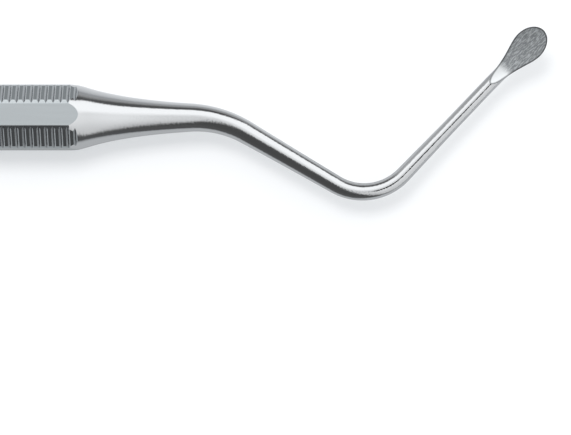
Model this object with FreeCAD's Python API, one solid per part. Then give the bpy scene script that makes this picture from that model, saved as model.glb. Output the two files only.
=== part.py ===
import FreeCAD, Part
import math
import os

# Double-ended surgical curette, one seamless piece of stainless steel, in millimetres.
# +X runs along the handle, +Z is up, and the origin is under the middle of the handle,
# on the flat that it rests on. The right-hand end is modelled, and the left-hand end is
# the same form turned through the middle of the handle, so the two spoons face opposite ways.

# Handle: a turned bar with eight flats, and a narrow bevel on each corner between them
across_flats = 6.35
bar_diameter = 6.84            # before the flats and bevels are cut
handle_length = 80.0           # between the two ends where the flats run out
flat_count = 8
corner_bevel = 0.42            # width of each bevel

# Cross grooves on every second flat, for grip
groove_pitch = 0.72
groove_land = 0.32             # flat left between two grooves
groove_angle = 110.0           # between the two walls of a groove
groove_setback = 0.3           # middle of the last groove, from the end of the flats

# Turned flare from the handle into the shank
shank_root_diameter = 2.6      # what the shank's own slow taper measures at the handle's end
neck_diameter = 1.38           # thinnest part, before the spoon
neck_start = 41.0              # along the centre line, from the end of the flats
flare_run = 5.7                # the flare shrinks to 1/e over this length
shoulder_round = 0.5           # rounds the shoulder between the bar and the flare
shoulder_length = 1.0          # how far the rounded stretch is drawn past the end of the flats

# Centre line of the right-hand end: straight legs, measured corner to corner, and bends
first_leg = 14.0               # from the end of the flats to the first bend's corner
second_leg = 17.55
third_leg = 17.3
heel_length = 0.83             # from the last bend's corner to where the spoon starts to widen
second_leg_heading = -30.3     # degrees in plan, from the handle's line
third_leg_heading = 46.3
spoon_heading = 44.5
spoon_pitch = 15.0             # the spoon tips up, towards its ground face
first_bend_radius = 11.0
second_bend_radius = 5.5
heel_bend_radius = 8.0

# Spoon: an oval blank drawn out of the shank, with one hollow-ground face
spoon_width = 3.1
spoon_thickness = 1.44         # of the blank, before its face is ground
spoon_flare_length = 4.23      # from the neck to the widest section
spoon_nose_length = 2.1        # from the widest section to the tip
spoon_shoulder = 1.1           # above 1, the blank stays slim for longer before it widens
wheel_radius = 10.2            # of the hollow grind along the spoon
wheel_crown_radius = 3.9       # of the hollow grind across the spoon
face_depth = 0.35              # deepest point of the hollow, below the rim
rim_drop = 0.03                # rim below the blank's middle, so that the rim is keen
wheel_side_margin = 0.6        # how far the wheel is wider than the spoon, on each side

# How many steps each stretch of the bent end is drawn through
shoulder_steps = 6
flare_steps = 6
first_bend_steps = 5
second_bend_steps = 9
leg_steps = 2
heel_bend_steps = 3
spoon_flare_steps = 5
nose_steps = 5
halvings = 40                  # of the interval in which the start of the shoulder is looked for
round_tolerance = 0.0001       # half sizes that differ by less are drawn as a circle

axis_height = across_flats / 2
handle_end = handle_length / 2
bar_radius = bar_diameter / 2
neck_radius = neck_diameter / 2
groove_half_angle = math.radians(groove_angle / 2)
spoon_length = spoon_flare_length + spoon_nose_length
up = FreeCAD.Vector(0, 0, 1)
forward = FreeCAD.Vector(1, 0, 0)
handle_middle = FreeCAD.Vector(0, 0, axis_height)


# Radius of the shank and its flare at a distance past the end of the flats, before the shoulder
# is rounded. Its size there is the one for which the rounded shoulder comes down to the flats.
def flare_radius(distance):
    root_radius = shank_root_diameter / 2
    slow_taper = max(0.0, 1 - distance / neck_start) * (root_radius - neck_radius)
    flare_top = bar_radius + shoulder_round - 2 * math.sqrt(shoulder_round * (bar_radius - axis_height))
    flare = (flare_top - root_radius) * math.exp(-distance / flare_run)
    return neck_radius + slow_taper + flare


# Radius of the round stock. At 0 it equals the flats' own distance from the axis, which is
# what makes the flats run out there.
def stock_radius(distance):
    gap = bar_radius - flare_radius(distance)
    if gap >= shoulder_round:
        return flare_radius(distance)
    if gap <= -shoulder_round:
        return bar_radius
    return bar_radius - (gap + shoulder_round) ** 2 / (4 * shoulder_round)


# Where the shoulder leaves the bar, found by halving: a negative distance, on the handle's side
def shoulder_start():
    low = -flare_run
    high = 0.0
    for _ in range(halvings):
        middle = (low + high) / 2
        if flare_radius(middle) > bar_radius + shoulder_round:
            low = middle
        else:
            high = middle
    return (low + high) / 2


def evenly(start, end, steps):
    return [start + (end - start) * step / steps for step in range(steps + 1)]


def direction(heading, pitch):
    turn = math.radians(heading)
    lift = math.radians(pitch)
    return FreeCAD.Vector(math.cos(lift) * math.cos(turn), math.cos(lift) * math.sin(turn), math.sin(lift))


# Corners of the centre line, from the end of the flats to the spoon's tip
def corners():
    legs = [
        (first_leg, direction(0, 0)),
        (second_leg, direction(second_leg_heading, 0)),
        (third_leg, direction(third_leg_heading, 0)),
        (heel_length + spoon_length, direction(spoon_heading, spoon_pitch)),
    ]
    points = [FreeCAD.Vector(handle_end, 0, axis_height)]
    for length, heading in legs:
        points.append(points[-1] + heading * length)
    return points


# The centre line as straight runs joined by tangent arcs, in order: run, arc, run, arc...
def centre_line():
    points = corners()
    radii = [first_bend_radius, second_bend_radius, heel_bend_radius]
    edges = []
    start = points[0]
    for corner, radius in enumerate(radii, 1):
        into = (points[corner] - points[corner - 1]).normalize()
        out = (points[corner + 1] - points[corner]).normalize()
        turn = into.getAngle(out)
        setback = radius * math.tan(turn / 2)
        arc_start = points[corner] - into * setback
        arc_end = points[corner] + out * setback
        towards_middle = (out - into).normalize()
        arc_middle = points[corner] + towards_middle * (radius / math.cos(turn / 2) - radius)
        edges.append(Part.LineSegment(start, arc_start).toShape())
        edges.append(Part.Arc(arc_start, arc_middle, arc_end).toShape())
        start = arc_end
    edges.append(Part.LineSegment(start, points[-1]).toShape())
    return edges


def point_on(edges, distance):
    for edge in edges[:-1]:
        if distance <= edge.Length:
            place = edge.getParameterByLength(distance)
            return edge.valueAt(place), edge.tangentAt(place)
        distance -= edge.Length
    place = edges[-1].getParameterByLength(min(distance, edges[-1].Length))
    return edges[-1].valueAt(place), edges[-1].tangentAt(place)


# Half width and half thickness of the blank at a distance from the end of the flats
def blank_half_sizes(distance, tip_distance):
    radius = stock_radius(distance)
    to_tip = tip_distance - distance
    if to_tip >= spoon_length:
        return radius, radius
    if to_tip <= spoon_nose_length:
        roundness = math.sqrt(1 - (1 - to_tip / spoon_nose_length) ** 2)
        return spoon_width / 2 * roundness, spoon_thickness / 2 * roundness
    share = ((spoon_length - to_tip) / spoon_flare_length) ** spoon_shoulder
    blend = share * share * (3 - 2 * share)
    half_width = radius + (spoon_width / 2 - radius) * blend
    half_thickness = radius + (spoon_thickness / 2 - radius) * blend
    return half_width, half_thickness


# Directions of a section: across the blank, and out of its upper side
def section_axes(tangent):
    across = up.cross(tangent).normalize()
    return across, tangent.cross(across)


# An oval section in two halves that meet at the blank's sides
def oval(centre, tangent, half_width, half_thickness):
    across, normal = section_axes(tangent)
    start = 0.0
    if abs(half_width - half_thickness) < round_tolerance:
        curve = Part.Circle(centre, tangent, half_width)
        curve.XAxis = across
    elif half_width > half_thickness:
        curve = Part.Ellipse(centre + across * half_width, centre + normal * half_thickness, centre)
    else:
        curve = Part.Ellipse(centre + normal * half_thickness, centre - across * half_width, centre)
        start = -math.pi / 2
    upper = curve.toShape(start, start + math.pi)
    lower = curve.toShape(start + math.pi, start + 2 * math.pi)
    return Part.Wire([upper, lower])


# One stretch of the blank, drawn as a smooth skin through its sections
def stretch(edges, distances, ends_in_tip=False):
    tip_distance = sum(edge.Length for edge in edges)
    sections = []
    for distance in distances:
        centre, tangent = point_on(edges, distance)
        half_width, half_thickness = blank_half_sizes(distance, tip_distance)
        sections.append(oval(centre, tangent, half_width, half_thickness))
    if ends_in_tip:
        sections.append(Part.Vertex(corners()[-1]))
    return Part.makeLoft(sections, True, False)


# Distances of the sections of the spoon and of the bend at its heel
def spoon_distances(heel_bend_start, tip_distance):
    spoon_start = tip_distance - spoon_length
    widest = tip_distance - spoon_nose_length
    distances = evenly(heel_bend_start, spoon_start, heel_bend_steps)[:-1]
    distances += evenly(spoon_start, widest, spoon_flare_steps)[:-1]
    for step in range(nose_steps):
        distances.append(widest + spoon_nose_length * math.sin(math.pi / 2 * step / nose_steps))
    return distances


# The bent shank with the spoon's blank at its end, before the face is ground
def bent_end(edges):
    ends = [0.0]
    for edge in edges:
        ends.append(ends[-1] + edge.Length)
    pieces = [
        stretch(edges, evenly(ends[1], ends[2], first_bend_steps)),
        stretch(edges, evenly(ends[2], ends[3], leg_steps)),
        stretch(edges, evenly(ends[3], ends[4], second_bend_steps)),
        stretch(edges, evenly(ends[4], ends[5], leg_steps)),
        stretch(edges, spoon_distances(ends[5], ends[-1]), ends_in_tip=True),
    ]
    return pieces[:-1], pieces[-1]


# The wheel that grinds the face: a disc with a crowned rim, standing over the spoon
def grinding_wheel():
    along = direction(spoon_heading, spoon_pitch)
    across, normal = section_axes(along)
    axle_height = wheel_radius - face_depth - rim_drop
    reach = math.sqrt(wheel_radius ** 2 - (axle_height + rim_drop) ** 2)
    axle = corners()[-1] - along * reach + normal * axle_height
    half_width = spoon_width / 2 + wheel_side_margin
    side_rise = wheel_crown_radius - math.sqrt(wheel_crown_radius ** 2 - half_width ** 2)
    rim_middle = axle - normal * wheel_radius
    rim_left = rim_middle - across * half_width + normal * side_rise
    rim_right = rim_middle + across * half_width + normal * side_rise
    hub_left = axle - across * half_width
    hub_right = axle + across * half_width
    crown = Part.Arc(rim_left, rim_middle, rim_right).toShape()
    sides = Part.makePolygon([rim_right, hub_right, hub_left, rim_left])
    profile = Part.Face(Part.Wire([crown] + sides.Edges))
    return profile.revolve(axle, across, 360)


# One half of the turned bar: half the handle, and its flare down to the first bend
def turned_half(first_run):
    shoulder = [handle_outline(d) for d in evenly(shoulder_start(), shoulder_length, shoulder_steps)]
    flare = [handle_outline(d) for d in evenly(shoulder_length, first_run, flare_steps)]
    foot = FreeCAD.Vector(flare[-1].x, 0, axis_height)
    bar_start = FreeCAD.Vector(0, 0, axis_height + bar_radius)
    shoulder_curve = Part.BSplineCurve()
    shoulder_curve.interpolate(shoulder)
    flare_curve = Part.BSplineCurve()
    flare_curve.interpolate(flare)
    edges = [
        Part.LineSegment(handle_middle, bar_start).toShape(),
        Part.LineSegment(bar_start, shoulder[0]).toShape(),
        shoulder_curve.toShape(),
        flare_curve.toShape(),
        Part.LineSegment(flare[-1], foot).toShape(),
        Part.LineSegment(foot, handle_middle).toShape(),
    ]
    return Part.Face(Part.Wire(edges)).revolve(handle_middle, forward, 360)


def handle_outline(distance):
    return FreeCAD.Vector(handle_end + distance, 0, axis_height + stock_radius(distance))


# The eight flats and their bevels, as one long prism that the turned bar is cut down to
def flats(length):
    half_turn = math.pi / flat_count
    half_flat = axis_height * math.tan(half_turn) - corner_bevel / 2 / math.cos(half_turn)
    outline = []
    for number in range(flat_count):
        facing = 2 * half_turn * number
        for side in (-half_flat, half_flat):
            height = axis_height * math.cos(facing) - side * math.sin(facing)
            offset = axis_height * math.sin(facing) + side * math.cos(facing)
            outline.append(handle_middle + FreeCAD.Vector(-length / 2, offset, height))
    outline.append(outline[0])
    return Part.Face(Part.makePolygon(outline)).extrude(forward * length)


# One comb per grooved flat: a block with a row of teeth, one for each groove
def groove_combs():
    span = handle_length - 2 * groove_setback
    gaps = round(span / groove_pitch)
    step = span / gaps
    depth = (groove_pitch - groove_land) / 2 / math.tan(groove_half_angle)
    clearance = groove_land / 4 / math.tan(groove_half_angle)
    half_tooth = (depth + clearance) * math.tan(groove_half_angle)
    root = across_flats + clearance
    outline = []
    for number in range(gaps + 1):
        middle = -span / 2 + number * step
        outline.append(FreeCAD.Vector(middle - half_tooth, -bar_radius, root))
        outline.append(FreeCAD.Vector(middle, -bar_radius, across_flats - depth))
        outline.append(FreeCAD.Vector(middle + half_tooth, -bar_radius, root))
    back = across_flats + bar_radius
    outline.append(FreeCAD.Vector(outline[-1].x, -bar_radius, back))
    outline.append(FreeCAD.Vector(outline[0].x, -bar_radius, back))
    outline.append(outline[0])
    comb = Part.Face(Part.makePolygon(outline)).extrude(FreeCAD.Vector(0, bar_diameter, 0))
    combs = []
    for number in range(1, flat_count, 2):
        turned = comb.copy()
        turned.rotate(handle_middle, forward, 360 / flat_count * number)
        combs.append(turned)
    return combs


# The same shape at the far side of the handle's middle, with every direction reversed
def opposite(shape):
    copy = shape.mirror(handle_middle, up)
    copy.rotate(handle_middle, up, 180)
    return copy


def curette():
    edges = centre_line()
    first_run = edges[0].Length
    half_bar = turned_half(first_run)
    bar = half_bar.fuse(opposite(half_bar)).removeSplitter()
    handle = bar.common(flats(handle_length + 2 * first_run)).cut(groove_combs())
    shank, spoon_blank = bent_end(edges)
    spoon = spoon_blank.cut(grinding_wheel())
    right = shank + [spoon]
    left = [opposite(piece) for piece in right]
    return handle.fuse(right + left)


os.makedirs("parts", exist_ok=True)
solid = curette().Solids[0]
solid.exportStep("parts/surgical_curette.step")
print("faces", len(solid.Faces), "volume", round(solid.Volume, 3), "valid", solid.isValid())
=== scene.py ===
import math
import bmesh
import bpy
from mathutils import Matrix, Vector
from mathutils.kdtree import KDTree


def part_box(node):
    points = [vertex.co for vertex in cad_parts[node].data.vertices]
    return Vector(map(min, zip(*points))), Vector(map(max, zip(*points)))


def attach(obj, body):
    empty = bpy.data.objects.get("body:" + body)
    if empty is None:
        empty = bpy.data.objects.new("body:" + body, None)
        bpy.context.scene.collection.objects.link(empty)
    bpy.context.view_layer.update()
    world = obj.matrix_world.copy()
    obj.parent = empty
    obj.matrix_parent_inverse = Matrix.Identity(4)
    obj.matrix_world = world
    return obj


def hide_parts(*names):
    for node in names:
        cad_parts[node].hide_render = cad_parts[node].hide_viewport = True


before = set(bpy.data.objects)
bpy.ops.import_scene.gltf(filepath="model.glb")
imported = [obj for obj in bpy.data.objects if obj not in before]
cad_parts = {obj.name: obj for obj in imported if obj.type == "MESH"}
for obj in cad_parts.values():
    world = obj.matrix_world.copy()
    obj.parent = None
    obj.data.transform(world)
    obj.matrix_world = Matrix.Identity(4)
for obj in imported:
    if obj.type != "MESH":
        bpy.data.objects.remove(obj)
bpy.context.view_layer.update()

# A double-ended surgical curette, bar-stock stainless steel.
# It is modelled straight in millimetres, one half from the middle of the handle to the spoon,
# then bent, ground, copied to the other end and brought down to metres.

cadLow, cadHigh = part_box("surgical_curette")
acrossFlats = (cadHigh.z - cadLow.z) * 1000
axisHeight = acrossFlats / 2
origin = Vector((0, 0, 0))
handleMiddle = Vector((0, 0, axisHeight))


# Colours

def linear(hexColour):
    channels = []
    for place in (1, 3, 5):
        value = int(hexColour[place:place + 2], 16) / 255
        channels.append(value / 12.92 if value <= 0.04045 else ((value + 0.055) / 1.055) ** 2.4)
    return (*channels, 1.0)


# Nodes: settings are the node's properties or the values of its sockets, links are what feeds a socket

def addNode(tree, kind, settings=None, links=None):
    node = tree.nodes.new(kind)
    for name, value in (settings or {}).items():
        if isinstance(name, str) and hasattr(node, name):
            setattr(node, name, value)
        else:
            node.inputs[name].default_value = value
    for name, source in (links or {}).items():
        tree.links.new(source, node.inputs[name])
    return node


def newMaterial(name):
    material = bpy.data.materials.new(name)
    material.use_nodes = True
    material.node_tree.nodes.clear()
    return material


def mathNode(tree, operation, first, second=None):
    node = addNode(tree, "ShaderNodeMath", {"operation": operation})
    for place, value in enumerate((first, second)):
        if isinstance(value, (int, float)):
            node.inputs[place].default_value = value
        elif value is not None:
            tree.links.new(value, node.inputs[place])
    return node.outputs[0]


def ramp(tree, value, low, high, atLow=0.0, atHigh=1.0):
    node = addNode(tree, "ShaderNodeMapRange", {
        "interpolation_type": "SMOOTHSTEP", "From Min": low, "From Max": high,
        "To Min": atLow, "To Max": atHigh}, {"Value": value})
    return node.outputs["Result"]


def colourMix(tree, first, second, share):
    node = addNode(tree, "ShaderNodeMix", {"data_type": "RGBA"}, {"Factor": share})
    for place, value in ((6, first), (7, second)):
        if isinstance(value, tuple):
            node.inputs[place].default_value = value
        else:
            tree.links.new(value, node.inputs[place])
    return node.outputs[2]


# Stainless steel. Each finish has lines: "along" is their size on the axis, "around" across it.
# The shank was turned and buffed on a lathe, so its faint lines run round it
# and reflections get short ticks along their edges
turned = {
    "colour": "#C9CBCD",
    "roughness": 0.1,
    "along": 0.18,             # mm; real turning marks are finer and wouldn't show
    "around": 0.4,             # mm
    "depth": 0.01,             # mm
    "anisotropy": 0.2,
}

# The flats were milled and lightly polished along the handle
milled = {
    "colour": "#AEB4B7",
    "roughness": 0.17,
    "along": 8.0,
    "around": 0.3,
    "depth": 0.0006,
    "anisotropy": 0.3,
}

# The grooves keep the cutter's bright flanks
grooved = {
    "colour": "#B4B8BB",
    "roughness": 0.14,
    "along": 0.5,
    "around": 0.6,
    "depth": 0.006,
    "anisotropy": 0.0,
}

# The spoon's face comes off the grinding wheel matt, with short coarse scratches along the spoon,
# and its run-out into the neck is buffed to a lower roughness, its bright colour a painted sheen
ground = {
    "colour": "#A2A6A9",
    "roughness": 0.78,
    "along": 0.6,
    "around": 0.12,
    "depth": 0.035,
    "anisotropy": 0.3,
    "crest": "#E4E7E9",        # colour of the scratches' crests
    "crestShare": 0.9,         # how much of it they take
    "crestNoise": (0.42, 0.62),
    "rim": "#4E5153",          # painted shade: a thin dark line along the keen edge round the face
    "paintedRimShadeWidth": 0.22,          # mm
    "paintedRimShadeBlend": (0.1, 0.75),
    "paintedRimShadeShare": 0.8,
    # buffed run-out: a real lower roughness, and a lighter colour that is a painted sheen
    "buffedWithPaintedSheen": "#D6D9DB",
    "buffedRoughness": 0.3,
    "buffedPaintedSheenEnd": (-3.3, -2.3),  # mm from the wheel's lowest point: wholly buffed with its painted sheen, wholly matt
}

# The lines change the roughness a little, from the first share of it to the second
lineNoise = (0.3, 0.7)
roughnessShare = (0.8, 1.25)


# The ground face: bright crests on its scratches, a painted shade along its rim, and the buffed run-out
# with a painted sheen
def groundFace(tree, finish, place, noise, shader):
    crest = ramp(tree, noise, *finish["crestNoise"], 0.0, finish["crestShare"])
    scratched = colourMix(tree, linear(finish["colour"]), linear(finish["crest"]), crest)
    # painted shade: the face darkens to a thin dark line along its rim
    rim = addNode(tree, "ShaderNodeAttribute", {"attribute_name": "rim"}).outputs["Fac"]
    rim = ramp(tree, rim, *finish["paintedRimShadeBlend"], 0.0, finish["paintedRimShadeShare"])
    withPaintedRimShade = colourMix(tree, scratched, linear(finish["rim"]), rim)
    tree.links.new(withPaintedRimShade, shader.inputs["Base Color"])
    # the buffed run-out's lighter colour is a painted sheen, darkened too by the painted rim shade
    bright = colourMix(tree, linear(finish["buffedWithPaintedSheen"]), linear(finish["rim"]), rim)
    buffedWithPaintedSheen = addNode(tree, "ShaderNodeBsdfPrincipled", {
        "Metallic": 1.0, "Roughness": finish["buffedRoughness"]}, {"Base Color": bright})
    along = addNode(tree, "ShaderNodeSeparateXYZ", {}, {"Vector": place}).outputs["X"]
    matt = ramp(tree, along, *finish["buffedPaintedSheenEnd"])
    mix = addNode(tree, "ShaderNodeMixShader", {}, {
        0: matt, 1: buffedWithPaintedSheen.outputs["BSDF"], 2: shader.outputs["BSDF"]})
    return mix.outputs[0]


def steel(name, finish):
    material = newMaterial(name)
    tree = material.node_tree
    place = addNode(tree, "ShaderNodeUVMap", {"uv_map": "UVMap"}).outputs["UV"]
    lines = addNode(tree, "ShaderNodeMapping", {
        "Scale": (1 / finish["along"], 1 / finish["around"], 1)}, {"Vector": place})
    noise = addNode(tree, "ShaderNodeTexNoise", {"Scale": 1.0, "Detail": 2.0, "Roughness": 0.6},
                    {"Vector": lines.outputs["Vector"]}).outputs["Fac"]
    bump = addNode(tree, "ShaderNodeBump", {
        "Strength": 1.0, "Distance": finish["depth"] / 1000}, {"Height": noise})
    tangent = addNode(tree, "ShaderNodeTangent", {"direction_type": "UV_MAP", "uv_map": "UVMap"})
    roughest = [finish["roughness"] * share for share in roughnessShare]
    roughness = ramp(tree, noise, *lineNoise, *roughest)
    shader = addNode(tree, "ShaderNodeBsdfPrincipled", {
        "Base Color": linear(finish["colour"]), "Metallic": 1.0, "Anisotropic": finish["anisotropy"]},
        {"Roughness": roughness, "Normal": bump.outputs["Normal"], "Tangent": tangent.outputs["Tangent"]})
    surface = shader.outputs["BSDF"]
    if "crest" in finish:
        surface = groundFace(tree, finish, place, noise, shader)
    addNode(tree, "ShaderNodeOutputMaterial", {}, {"Surface": surface})
    return material


turnedSteel = steel("turnedStainlessSteel", turned)
milledSteel = steel("milledStainlessSteel", milled)
groovedSteel = steel("groovedStainlessSteel", grooved)
groundSteel = steel("groundStainlessSteel", ground)


# Modelling helpers

def choose(piece, test):
    bpy.ops.mesh.select_all(action="DESELECT")
    mesh = bmesh.from_edit_mesh(piece.data)
    for vertex in mesh.verts:
        if test(vertex):
            vertex.select = True
    mesh.select_flush(True)
    bmesh.update_edit_mesh(piece.data)


def turn(degrees, axis, centre):
    # without a window this operator turns the other way
    bpy.ops.transform.rotate(value=-math.radians(degrees), orient_axis=axis, center_override=centre)


def editing(piece):
    bpy.ops.object.select_all(action="DESELECT")
    piece.select_set(True)
    bpy.context.view_layer.objects.active = piece
    bpy.ops.object.mode_set(mode="EDIT")
    bpy.ops.mesh.select_mode(type="VERT")
    bpy.ops.mesh.select_all(action="SELECT")


def doneEditing():
    bpy.ops.object.mode_set(mode="OBJECT")


def startPiece(name, material):
    piece = bpy.context.object
    piece.name = name
    piece.data.name = name
    piece.data.materials.append(material)
    bpy.ops.object.transform_apply(location=True, rotation=True, scale=True)
    return piece


def cut(piece, tool, operation):
    modifier = piece.modifiers.new("cut", "BOOLEAN")
    modifier.operation = operation
    modifier.solver = "EXACT"
    modifier.material_mode = "TRANSFER"
    modifier.object = tool
    bpy.context.view_layer.objects.active = piece
    bpy.ops.object.modifier_apply(modifier=modifier.name)
    bpy.data.objects.remove(tool)


# UV map in millimetres: along the axis, and round it at the girth of the neck
def unroll(piece, girth):
    layer = piece.data.uv_layers.get("UVMap") or piece.data.uv_layers.new(name="UVMap")
    for face in piece.data.polygons:
        middle = math.atan2(face.center.y, face.center.z - axisHeight)
        for corner in face.loop_indices:
            place = piece.data.vertices[piece.data.loops[corner].vertex_index].co
            angle = math.atan2(place.y, place.z - axisHeight)
            while angle - middle > math.pi:
                angle -= 2 * math.pi
            while middle - angle > math.pi:
                angle += 2 * math.pi
            layer.data[corner].uv = (place.x, angle * girth)


# Handle

handle = {
    "length": 80.0,            # between the two ends of the flats
    "cornerBevel": 0.42,
    "turnedDiameter": 6.84,    # before the flats are cut
    "shoulderRound": 0.5,      # rounds the shoulder where the flats run out
    "groovePitch": 0.72,
    "grooveLand": 0.32,
    "grooveAngle": 110.0,
    "grooveSetback": 0.3,
    "grooveLength": 3.2,       # of the cutter, wider than a flat
    "flatsPast": 5.0,          # the flats' cut goes on this far into the flare
    "spareWidth": 20,          # the block beyond it, times the bar's width
    "spareLength": 80,
}

# Shank: a slow taper with a flare on top of it, then legs and bends measured corner to corner
shank = {
    "rootDiameter": 2.6,
    "neckDiameter": 1.38,
    "neckStart": 41.0,
    "flareRun": 5.7,
    "legs": (14.0, 17.55, 17.3, 0.83),
    "headings": (0.0, -30.3, 46.3, 44.5),
    "bendRadii": (11.0, 5.5, 8.0),
    "sides": 128,
    "girth": 2.0,              # radius that its finish is unrolled at
}
overlap = 1.0                  # modelled past the middle of the handle and trimmed off later
smoothAngle = 6.5              # degrees between faces, past which an edge stays sharp

spoon = {
    "width": 3.1,
    "thickness": 1.44,
    "flareLength": 4.23,
    "noseLength": 2.1,
    "shoulder": 1.1,
    "pitch": 15.0,
    "wheelRadius": 10.2,
    "wheelCrown": 3.9,
    "wheelSides": 200,
    "wheelSteps": 140,
    "wheelSweep": 70.0,        # degrees that are spun
    "wheelTrail": 46.0,        # degrees of them behind the lowest point
    "faceDepth": 0.35,
    "rimDrop": 0.03,
}

handleEnd = handle["length"] / 2
barRadius = handle["turnedDiameter"] / 2
rootRadius = shank["rootDiameter"] / 2
neckRadius = shank["neckDiameter"] / 2
spoonLength = spoon["flareLength"] + spoon["noseLength"]


# Radius of the turned stock at a distance past the end of the flats
def turnedRadius(distance):
    slow = neckRadius + max(0.0, 1 - distance / shank["neckStart"]) * (rootRadius - neckRadius)
    blend = handle["shoulderRound"]
    top = barRadius + blend - 2 * math.sqrt(blend * (barRadius - axisHeight))
    stock = slow + (top - rootRadius) * math.exp(-distance / shank["flareRun"])
    gap = barRadius - stock
    if gap >= blend:
        return stock
    if gap <= -blend:
        return barRadius
    return barRadius - (gap + blend) ** 2 / (4 * blend)


def heelTurn():
    pitch = math.radians(spoon["pitch"])
    heading = math.radians(shank["headings"][3] - shank["headings"][2])
    return math.degrees(math.acos(math.cos(pitch) * math.cos(heading)))


# Where each bend starts and ends along the straight stock, from the end of the flats
def bendSpans():
    headings = shank["headings"]
    turns = (abs(headings[1] - headings[0]), abs(headings[2] - headings[1]), heelTurn())
    spans = []
    corner = 0.0
    saved = 0.0
    for leg, radius, degrees in zip(shank["legs"], shank["bendRadii"], turns):
        angle = math.radians(degrees)
        setback = radius * math.tan(angle / 2)
        corner += leg
        start = corner - setback - saved
        spans.append((start, start + radius * angle))
        saved += 2 * setback - radius * angle
    tip = corner - saved + shank["legs"][3] + spoonLength
    return spans, tip


def evenly(start, end, steps):
    return [start + (end - start) * step / steps for step in range(1, steps + 1)]


# Half width and half thickness of the stock, with the spoon's blank drawn out at its end
def blankSize(distance, tip):
    radius = turnedRadius(distance)
    left = tip - distance
    if left >= spoonLength:
        return radius, radius
    if left <= spoon["noseLength"]:
        roundness = math.sqrt(max(0.0, 1 - (1 - left / spoon["noseLength"]) ** 2))
        return spoon["width"] / 2 * roundness, spoon["thickness"] / 2 * roundness
    share = ((spoonLength - left) / spoon["flareLength"]) ** spoon["shoulder"]
    blend = share * share * (3 - 2 * share)
    wide = radius + (spoon["width"] / 2 - radius) * blend
    thick = radius + (spoon["thickness"] / 2 - radius) * blend
    return wide, thick


# The half's rings: how many in each stretch, and which of them bound the bends
rings = {
    "plainBar": 2,
    "shoulder": 24,
    "flare": 26,
    "firstBend": 18,
    "secondLeg": 8,
    "secondBend": 34,
    "thirdLeg": 10,
    "heelBend": 10,
    "spoonFlare": 34,
    "nose": 22,
}
shoulderReach = 3.0            # mm of close rings either side of the end of the flats


def stations():
    (first, firstEnd), (second, secondEnd), (heel, heelEnd) = bendSpans()[0]
    tip = bendSpans()[1]
    widest = tip - spoon["noseLength"]
    places = evenly(-handleEnd - overlap, -shoulderReach, rings["plainBar"])
    places += evenly(-shoulderReach, shoulderReach, rings["shoulder"])
    places += evenly(shoulderReach, first, rings["flare"])
    bends = [(len(places), len(places) + rings["firstBend"])]
    places += evenly(first, firstEnd, rings["firstBend"])
    places += evenly(firstEnd, second, rings["secondLeg"])
    bends.append((len(places), len(places) + rings["secondBend"]))
    places += evenly(second, secondEnd, rings["secondBend"])
    places += evenly(secondEnd, heel, rings["thirdLeg"])
    bends.append((len(places), len(places) + rings["heelBend"]))
    places += evenly(heel, heelEnd, rings["heelBend"])
    places += evenly(heelEnd, widest, rings["spoonFlare"])
    for step in range(1, rings["nose"]):
        places.append(widest + spoon["noseLength"] * math.sin(math.pi / 2 * step / rings["nose"]))
    return places, bends, tip


def drawStock():
    places, bends, tip = stations()
    size = barRadius
    bpy.ops.object.select_all(action="DESELECT")
    bpy.ops.mesh.primitive_circle_add(vertices=shank["sides"], radius=size, fill_type="NGON",
                                      location=(-overlap, 0, axisHeight), rotation=(0, math.pi / 2, 0))
    piece = startPiece("curette", turnedSteel)
    editing(piece)
    last = -handleEnd - overlap
    wideBefore = thickBefore = size
    for place in places:
        wide, thick = blankSize(place, tip)
        bpy.ops.mesh.extrude_region_move(TRANSFORM_OT_translate={"value": (place - last, 0, 0)})
        bpy.ops.transform.resize(value=(1, wide / wideBefore, thick / thickBefore),
                                 center_override=(handleEnd + place, 0, axisHeight))
        last, wideBefore, thickBefore = place, wide, thick
    bpy.ops.mesh.extrude_region_move(TRANSFORM_OT_translate={"value": (tip - last, 0, 0)})
    bpy.ops.mesh.merge(type="CENTER")
    doneEditing()
    unroll(piece, shank["girth"])
    return piece, bends


def bendStock(piece, firstRing, lastRing, degrees, axis):
    sides = shank["sides"]
    steps = lastRing - firstRing
    for ring in range(lastRing, firstRing - 1, -1):
        share = 0.5 if ring in (firstRing, lastRing) else 1.0
        mesh = bmesh.from_edit_mesh(piece.data)
        mesh.verts.ensure_lookup_table()
        centre = Vector((0, 0, 0))
        for number in range(ring * sides, (ring + 1) * sides):
            centre += mesh.verts[number].co / sides
        choose(piece, lambda vertex: vertex.index >= (ring + 1) * sides)
        turn(degrees * share / steps, axis, centre)
        choose(piece, lambda vertex: ring * sides <= vertex.index < (ring + 1) * sides)
        turn(degrees * share / steps / 2, axis, centre)


def bentHalf():
    piece, bends = drawStock()
    headings = shank["headings"]
    editing(piece)
    bendStock(piece, *bends[2], -spoon["pitch"], "Y")
    for number in (2, 1, 0):
        bendStock(piece, *bends[number], headings[number + 1] - headings[number], "Z")
    doneEditing()
    tip = piece.data.vertices[len(piece.data.vertices) - 1].co.copy()
    return piece, tip


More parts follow.
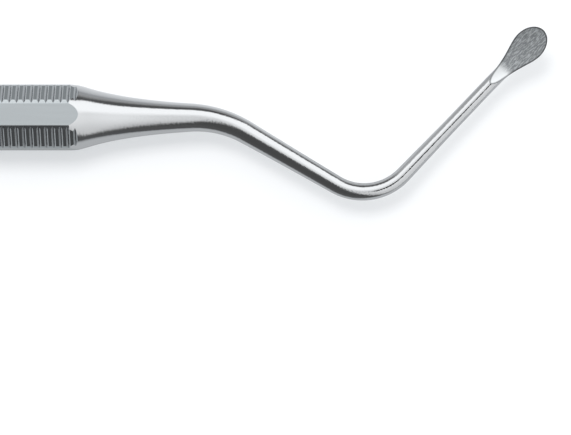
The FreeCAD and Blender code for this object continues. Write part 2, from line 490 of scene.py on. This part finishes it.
# The bar of flats that the turned stock is cut down to, with a wide block beyond it
# that spares the shank
def flatsTool():
    depth = handleEnd + handle["flatsPast"]
    radius = axisHeight / math.cos(math.pi / 8)
    bpy.ops.object.select_all(action="DESELECT")
    bpy.ops.mesh.primitive_cylinder_add(
        vertices=8, radius=radius, depth=depth + 2 * overlap,
        location=(depth / 2 - overlap, 0, axisHeight), rotation=(0, math.pi / 2, 0))
    tool = startPiece("flats", milledSteel)
    editing(tool)
    turn(22.5, "X", handleMiddle)
    bpy.ops.mesh.select_all(action="DESELECT")
    mesh = bmesh.from_edit_mesh(tool.data)
    for edge in mesh.edges:
        edge.select = abs(edge.verts[0].co.x - edge.verts[1].co.x) > depth
    bmesh.update_edit_mesh(tool.data)
    bpy.ops.mesh.select_mode(type="EDGE")
    bpy.ops.mesh.bevel(offset=handle["cornerBevel"], offset_type="WIDTH", segments=1, affect="EDGES")
    bpy.ops.mesh.select_mode(type="VERT")
    choose(tool, lambda vertex: vertex.co.x > 1)
    end = (depth, 0, axisHeight)
    bpy.ops.mesh.extrude_region_move(TRANSFORM_OT_translate={"value": (0, 0, 0)})
    wider = handle["spareWidth"]
    bpy.ops.transform.resize(value=(1, wider, wider), center_override=end)
    bpy.ops.mesh.extrude_region_move(TRANSFORM_OT_translate={"value": (handle["spareLength"], 0, 0)})
    doneEditing()
    unroll(tool, axisHeight)
    return tool


def groovesTool():
    span = handle["length"] - 2 * handle["grooveSetback"]
    gaps = round(span / handle["groovePitch"])
    step = span / gaps
    slope = math.tan(math.radians(handle["grooveAngle"] / 2))
    depth = (handle["groovePitch"] - handle["grooveLand"]) / 2 / slope
    clearance = handle["grooveLand"] / 4 / slope
    tall = depth + clearance
    bpy.ops.object.select_all(action="DESELECT")
    level = acrossFlats - depth + tall / 2
    bpy.ops.mesh.primitive_cube_add(size=1, location=(-step, 0, level),
                                    scale=(2 * tall * slope, handle["grooveLength"], tall))
    tool = startPiece("grooves", groovedSteel)
    editing(tool)
    choose(tool, lambda vertex: vertex.co.z < level)
    bpy.ops.transform.resize(value=(0, 1, 1), center_override=(-step, 0, acrossFlats))
    bpy.ops.mesh.select_all(action="SELECT")
    bpy.ops.mesh.remove_doubles(threshold=0.001)
    doneEditing()
    row = tool.modifiers.new("row", "ARRAY")
    row.use_relative_offset = False
    row.use_constant_offset = True
    row.constant_offset_displace = (step, 0, 0)
    row.count = gaps // 2 + 2
    bpy.ops.object.modifier_apply(modifier=row.name)
    editing(tool)
    turn(45, "X", handleMiddle)
    for _ in range(3):
        bpy.ops.mesh.duplicate()
        turn(90, "X", handleMiddle)
    bpy.ops.mesh.select_all(action="SELECT")
    bpy.ops.mesh.normals_make_consistent(inside=False)
    doneEditing()
    unroll(tool, axisHeight)
    return tool


# Grinding wheel: a disc of the crown's radius spun round the axle, only as far as it meets the spoon
def wheelTool(tip):
    radius = spoon["wheelRadius"]
    crown = spoon["wheelCrown"]
    axleHeight = radius - spoon["faceDepth"] - spoon["rimDrop"]
    reach = math.sqrt(radius ** 2 - (axleHeight + spoon["rimDrop"]) ** 2)
    sides = spoon["wheelSides"]
    bpy.ops.object.select_all(action="DESELECT")
    bpy.ops.mesh.primitive_circle_add(vertices=sides, radius=crown, fill_type="NGON",
                                      location=(0, 0, crown - radius), rotation=(0, math.pi / 2, 0))
    tool = startPiece("wheel", groundSteel)
    editing(tool)
    turn(spoon["wheelTrail"], "Y", origin)
    bpy.ops.mesh.spin(steps=spoon["wheelSteps"], angle=math.radians(spoon["wheelSweep"]),
                      center=(0, 0, 0), axis=(0, 1, 0))
    bpy.ops.mesh.select_all(action="SELECT")
    bpy.ops.mesh.remove_doubles(threshold=0.0001)
    bpy.ops.mesh.normals_make_consistent(inside=False)
    doneEditing()
    layer = tool.data.uv_layers.get("UVMap") or tool.data.uv_layers.new(name="UVMap")
    for corner in tool.data.loops:
        place = tool.data.vertices[corner.vertex_index].co
        layer.data[corner.index].uv = (math.atan2(place.x, -place.z) * radius, place.y)
    pitch = math.radians(spoon["pitch"])
    heading = math.radians(shank["headings"][3])
    flat = Vector((math.cos(heading), math.sin(heading), 0))
    along = flat * math.cos(pitch) + Vector((0, 0, math.sin(pitch)))
    normal = Vector((0, 0, math.cos(pitch))) - flat * math.sin(pitch)
    tool.rotation_euler = (0, -pitch, heading)
    tool.location = tip - along * reach + normal * axleHeight
    bpy.ops.object.transform_apply(location=True, rotation=True, scale=True)
    return tool


def finishHalf(piece, tip):
    cut(piece, flatsTool(), "INTERSECT")
    print("flats cut:", len(piece.data.polygons), "faces")
    cut(piece, groovesTool(), "DIFFERENCE")
    print("grooves cut:", len(piece.data.polygons), "faces")
    cut(piece, wheelTool(tip), "DIFFERENCE")
    print("face ground:", len(piece.data.polygons), "faces")


# The other end is the same half turned through the handle's middle
def addOtherEnd(piece):
    editing(piece)
    bpy.ops.mesh.bisect(plane_co=handleMiddle, plane_no=(1, 0, 0), clear_inner=True)
    bpy.ops.mesh.select_all(action="SELECT")
    bpy.ops.mesh.duplicate()
    bpy.ops.transform.resize(value=(-1, -1, -1), center_override=handleMiddle)
    bpy.ops.mesh.flip_normals()
    bpy.ops.mesh.select_all(action="SELECT")
    bpy.ops.mesh.remove_doubles(threshold=0.001)
    bpy.ops.mesh.normals_make_consistent(inside=False)
    bpy.ops.transform.resize(value=(0.001, 0.001, 0.001), center_override=origin)
    doneEditing()
    bpy.ops.object.shade_smooth_by_angle(angle=math.radians(smoothAngle))


# How near each corner of the ground face is to its rim: 1 on it, 0 from the rim's width inwards; the
# painted rim shade follows it
def markPaintedRimShade(piece):
    mesh = piece.data
    groundPlace = mesh.materials.find(groundSteel.name)
    onFace = set()
    offFace = set()
    for face in mesh.polygons:
        if face.material_index == groundPlace:
            onFace.update(face.vertices)
        else:
            offFace.update(face.vertices)
    onRim = onFace & offFace
    rim = KDTree(len(onRim))
    for number in onRim:
        rim.insert(mesh.vertices[number].co, number)
    rim.balance()
    layer = mesh.attributes.new("rim", "FLOAT", "POINT")
    for number in onFace:
        nearest, rimNumber, distance = rim.find(mesh.vertices[number].co)
        layer.data[number].value = max(0.0, 1 - distance * 1000 / ground["paintedRimShadeWidth"])


curette, spoonTip = bentHalf()
print("stock bent, tip at", [round(value, 2) for value in spoonTip])
finishHalf(curette, spoonTip)
addOtherEnd(curette)
markPaintedRimShade(curette)
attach(curette, "root")
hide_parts("surgical_curette")
print("curette:", len(curette.data.polygons), "faces")


# Floor: a matt card. What its light leaves it short of white is made up for the camera and for
# reflections, and in reflections it darkens away from the instrument, as the lit patch ends.
# Each fade is given in metres as start, end and by how much

floorLook = {
    "size": 3.0,
    "colour": "#B0B0B0",
    "lift": "#BDC0C3",
    "fade": 0.08,                         # everywhere
    "farFade": (0.000, 0.026, 0.55),      # beyond the shank's line
    "firstLegStart": 0.054,               # where that line leaves the handle's line
    "firstLegRun": 0.015,
    "firstLegNormal": (0.5, 0.86),
    "nearFade": (-0.002, 0.003, 0.28),    # on the near side of the handle's line
    "nearPatch": (0.010, 0.030, 0.52),    # further out on that side
    "nearPatchEnd": (0.062, 0.074),       # along the handle's line
    "nearPatchFar": (0.030, 0.060),       # so far out it goes on all along the instrument
}


# How much darker the floor is in reflections, from a place on it
def floorFade(tree, place):
    parts = addNode(tree, "ShaderNodeSeparateXYZ", {}, {"Vector": place})
    along, away = parts.outputs["X"], parts.outputs["Y"]
    start, end, share = floorLook["farFade"]
    normalX, normalY = floorLook["firstLegNormal"]
    pastFlare = mathNode(tree, "SUBTRACT", along, floorLook["firstLegStart"])
    pastFlare = mathNode(tree, "MAXIMUM", pastFlare, 0.0)
    pastFlare = mathNode(tree, "MINIMUM", pastFlare, floorLook["firstLegRun"])
    beyond = mathNode(tree, "ADD", mathNode(tree, "MULTIPLY", away, normalY),
                      mathNode(tree, "MULTIPLY", pastFlare, normalX))
    farFade = ramp(tree, beyond, start, end, floorLook["fade"], share)
    toward = mathNode(tree, "MULTIPLY", away, -1.0)
    start, end, share = floorLook["nearFade"]
    nearFade = ramp(tree, toward, start, end, 0.0, share)
    start, end, share = floorLook["nearPatch"]
    patchReach = mathNode(tree, "MAXIMUM", ramp(tree, along, *floorLook["nearPatchEnd"], 1.0, 0.0),
                          ramp(tree, toward, *floorLook["nearPatchFar"]))
    patch = mathNode(tree, "MULTIPLY", ramp(tree, toward, start, end, 0.0, share), patchReach)
    return mathNode(tree, "ADD", farFade, mathNode(tree, "ADD", nearFade, patch))


def makeFloor():
    bpy.ops.object.select_all(action="DESELECT")
    bpy.ops.mesh.primitive_plane_add(size=floorLook["size"], location=(0, 0, 0))
    floor = bpy.context.object
    floor.name = "floor"
    material = newMaterial("mattCard")
    tree = material.node_tree
    ray = addNode(tree, "ShaderNodeLightPath")
    seen = mathNode(tree, "MAXIMUM", ray.outputs["Is Camera Ray"], ray.outputs["Is Glossy Ray"])
    matt = addNode(tree, "ShaderNodeBsdfDiffuse", {"Color": linear(floorLook["colour"])})
    glow = addNode(tree, "ShaderNodeEmission", {"Color": linear(floorLook["lift"])}, {"Strength": seen})
    lit = addNode(tree, "ShaderNodeAddShader", {}, {0: matt.outputs[0], 1: glow.outputs[0]})
    unlit = addNode(tree, "ShaderNodeBsdfDiffuse", {"Color": (0, 0, 0, 1)})
    place = addNode(tree, "ShaderNodeTexCoord").outputs["Object"]
    share = mathNode(tree, "MULTIPLY", floorFade(tree, place), ray.outputs["Is Glossy Ray"])
    mix = addNode(tree, "ShaderNodeMixShader", {}, {0: share, 1: lit.outputs[0], 2: unlit.outputs[0]})
    addNode(tree, "ShaderNodeOutputMaterial", {}, {"Surface": mix.outputs[0]})
    floor.data.materials.append(material)


# Studio: a wide soft light beyond the object, a dark board low on the near left
# and a dark gap between the lights and the table. Zenith is in degrees from straight up,
# bearing is 1 beyond the object and -1 on its near side, and across is 1 to its right

studio = {
    "top": 1.05,                       # brightness
    "topRight": 1.28,
    "topRightX": (0.12, 0.3),
    "farSky": 1.0,
    "farSkyZenith": (10, 60),
    "nearSky": 0.66,
    "nearSkyZenith": (5, 72),
    "nearSkyBearing": (-0.55, -0.9),
    "nearRightSky": 0.9,
    "nearRightAcross": (0.28, 0.45),
    "softbox": 1.55,
    "softboxRim": 57.0,                # zenith of its lower rim, then on the right and the left
    "softboxRightRim": 70.0,
    "softboxRightAcross": (0.3, 0.5),
    "softboxLeftRim": 52.0,
    "softboxLeftAcross": (-0.3, -0.65),
    "softboxRimBlur": (-3, 3),
    "softboxAway": (-0.02, 0.5),       # distance beyond the object, per height
    "softboxBearing": (0.25, 0.6),
    "board": 0.1,
    "boardSideways": (0.015, -0.065),  # distance to the right, per height
    "boardKink": 0.5,                  # so far on the near side, per height, its edge starts to lean
    "boardLean": 0.33,
    "boardAway": (0.06, -0.06),
    "boardZenith": (94, 88),
    "gap": 0.12,
    "farGapBlur": (0, 5),              # degrees below the softbox's rim
    "farGapBearing": (0.5, 0.7),
    "backdrop": 0.45,                  # what shows in the far gap, low down
    "backdropZenith": (74, 89),
    "backdropAcross": (0.4, 0.55),
    "backdropRight": 0.2,              # how much of it is left on the right
    "sideGap": 0.6,
    "sideGapAcross": (-0.4, -0.65),
    "nearGapZenith": (60.0, 74.0),     # where it starts, then on the right
    "nearGapBlur": (0, 22),
    "nearGapBearing": (-0.75, -0.9),
}


def makeStudio():
    world = bpy.data.worlds.new("studio")
    bpy.context.scene.world = world
    world.use_nodes = True
    tree = world.node_tree
    tree.nodes.clear()
    direction = addNode(tree, "ShaderNodeTexCoord").outputs["Generated"]
    x, y, z = addNode(tree, "ShaderNodeSeparateXYZ", {}, {"Vector": direction}).outputs

    def blend(under, over, share):
        node = addNode(tree, "ShaderNodeMix", {"data_type": "FLOAT"}, {"Factor": share})
        for place, value in ((2, under), (3, over)):
            if isinstance(value, (int, float)):
                node.inputs[place].default_value = value
            else:
                tree.links.new(value, node.inputs[place])
        return node.outputs[0]

    def both(first, second):
        return mathNode(tree, "MULTIPLY", first, second)

    def plus(first, second):
        return mathNode(tree, "ADD", first, second)

    def less(first, second):
        return mathNode(tree, "SUBTRACT", first, second)

    def within(value, name):
        return ramp(tree, value, *studio[name])

    height = mathNode(tree, "MAXIMUM", z, 0.02)
    sideways = mathNode(tree, "DIVIDE", x, height)
    away = mathNode(tree, "DIVIDE", y, height)
    zenith = both(mathNode(tree, "ARCCOSINE", z), 180 / math.pi)
    level = mathNode(tree, "MAXIMUM", mathNode(tree, "SQRT", plus(both(x, x), both(y, y))), 0.001)
    bearing = mathNode(tree, "DIVIDE", y, level)
    across = mathNode(tree, "DIVIDE", x, level)
    nearRight = within(across, "nearRightAcross")

    top = blend(studio["top"], studio["topRight"], within(x, "topRightX"))
    farSky = blend(top, studio["farSky"], within(zenith, "farSkyZenith"))
    nearSky = blend(studio["nearSky"], studio["nearRightSky"], nearRight)
    nearSky = blend(top, nearSky, within(zenith, "nearSkyZenith"))
    light = blend(farSky, nearSky, within(bearing, "nearSkyBearing"))

    rim = blend(studio["softboxRim"], studio["softboxRightRim"], within(across, "softboxRightAcross"))
    rim = blend(rim, studio["softboxLeftRim"], within(across, "softboxLeftAcross"))
    softbox = both(within(bearing, "softboxBearing"), within(less(rim, zenith), "softboxRimBlur"))
    light = blend(light, studio["softbox"], both(within(away, "softboxAway"), softbox))

    lean = both(mathNode(tree, "MINIMUM", plus(away, studio["boardKink"]), 0.0), studio["boardLean"])
    board = both(within(plus(sideways, lean), "boardSideways"), within(away, "boardAway"))
    light = blend(light, studio["board"], both(board, within(zenith, "boardZenith")))

    backdrop = ramp(tree, across, *studio["backdropAcross"], 1.0, studio["backdropRight"])
    backdrop = both(within(zenith, "backdropZenith"), backdrop)
    farGap = blend(studio["gap"], studio["backdrop"], backdrop)
    farGap = blend(farGap, studio["sideGap"], within(across, "sideGapAcross"))
    farGapPlace = both(within(less(zenith, rim), "farGapBlur"), within(bearing, "farGapBearing"))
    light = blend(light, farGap, farGapPlace)

    start = ramp(tree, across, *studio["nearRightAcross"], *studio["nearGapZenith"])
    nearGap = both(within(less(zenith, start), "nearGapBlur"), within(bearing, "nearGapBearing"))
    light = blend(light, studio["gap"], nearGap)

    light = blend(light, 1.0, addNode(tree, "ShaderNodeLightPath").outputs["Is Camera Ray"])
    colour = addNode(tree, "ShaderNodeCombineColor", {}, {"Red": light, "Green": light, "Blue": light})
    background = addNode(tree, "ShaderNodeBackground", {"Strength": 1.0}, {"Color": colour.outputs[0]})
    addNode(tree, "ShaderNodeOutputWorld", {}, {"Surface": background.outputs[0]})


# Key light: a soft lamp beyond the object, high up, that throws its shadow to the near side

keyLight = {"bearing": 95.0, "elevation": 71.0, "distance": 0.6, "size": 0.2, "power": 1.6}


def makeKeyLight():
    bearing = math.radians(keyLight["bearing"])
    elevation = math.radians(keyLight["elevation"])
    aim = Vector((math.cos(bearing) * math.cos(elevation), math.sin(bearing) * math.cos(elevation),
                  math.sin(elevation)))
    bpy.ops.object.light_add(type="AREA", location=aim * keyLight["distance"])
    lamp = bpy.context.object
    lamp.name = "keyLight"
    lamp.data.size = keyLight["size"]
    lamp.data.energy = keyLight["power"]
    lamp.visible_glossy = False          # the world already holds its reflection
    lamp.rotation_euler = aim.to_track_quat("Z", "Y").to_euler()


# Flag: a narrow dark card held over the last leg, seen only as the thin dark line along its highlight

flag = {
    "colour": "#2A2B2C",
    "length": 21.0,
    "width": 6.0,
    "height": 22.0,            # above the handle's axis
    "aside": 4.9,              # from the leg, to its lower right
    "ahead": 1.0,
}


def makeFlag():
    first, second, third = [math.radians(heading) for heading in shank["headings"][:3]]
    legs = shank["legs"]
    corner = Vector((handleEnd, 0, axisHeight))
    corner += Vector((math.cos(first), math.sin(first), 0)) * legs[0]
    corner += Vector((math.cos(second), math.sin(second), 0)) * legs[1]
    along = Vector((math.cos(third), math.sin(third), 0))
    aside = Vector((math.sin(third), -math.cos(third), 0))
    middle = corner + along * (legs[2] / 2 + flag["ahead"]) + aside * flag["aside"]
    middle.z += flag["height"]
    bpy.ops.object.select_all(action="DESELECT")
    bpy.ops.mesh.primitive_plane_add(size=0.001, location=middle * 0.001, rotation=(math.pi, 0, third))
    bpy.context.object.scale = (flag["length"], flag["width"], 1)
    card = startPiece("flag", newMaterial("blackCard"))
    tree = card.data.materials[0].node_tree
    matt = addNode(tree, "ShaderNodeBsdfDiffuse", {"Color": linear(flag["colour"])})
    addNode(tree, "ShaderNodeOutputMaterial", {}, {"Surface": matt.outputs[0]})
    for ray in ("camera", "diffuse", "shadow", "transmission", "volume_scatter"):
        setattr(card, "visible_" + ray, False)


# Camera: nearly straight down on the right-hand end, as in the photo

view = {
    "lens": 200.0,
    "elevation": 86.0,
    "frameWidth": 56.70,       # mm of the object across the picture
    "centreX": 60.45,
    "centreY": -9.97,
}


def makeCamera():
    data = bpy.data.cameras.new("camera")
    camera = bpy.data.objects.new("camera", data)
    bpy.context.scene.collection.objects.link(camera)
    bpy.context.scene.camera = camera
    data.lens = view["lens"]
    distance = view["frameWidth"] * view["lens"] / data.sensor_width
    tilt = math.radians(view["elevation"])
    back = Vector((0, -math.cos(tilt), math.sin(tilt)))
    aim = Vector((view["centreX"], view["centreY"], axisHeight))
    camera.location = (aim + back * distance) * 0.001
    camera.rotation_euler = back.to_track_quat("Z", "Y").to_euler()
    data.clip_start = 0.01
    data.clip_end = 10.0


makeFloor()
makeStudio()
makeKeyLight()
makeFlag()
makeCamera()
bpy.context.scene.view_settings.view_transform = "Standard"
print("stage, light and camera set")
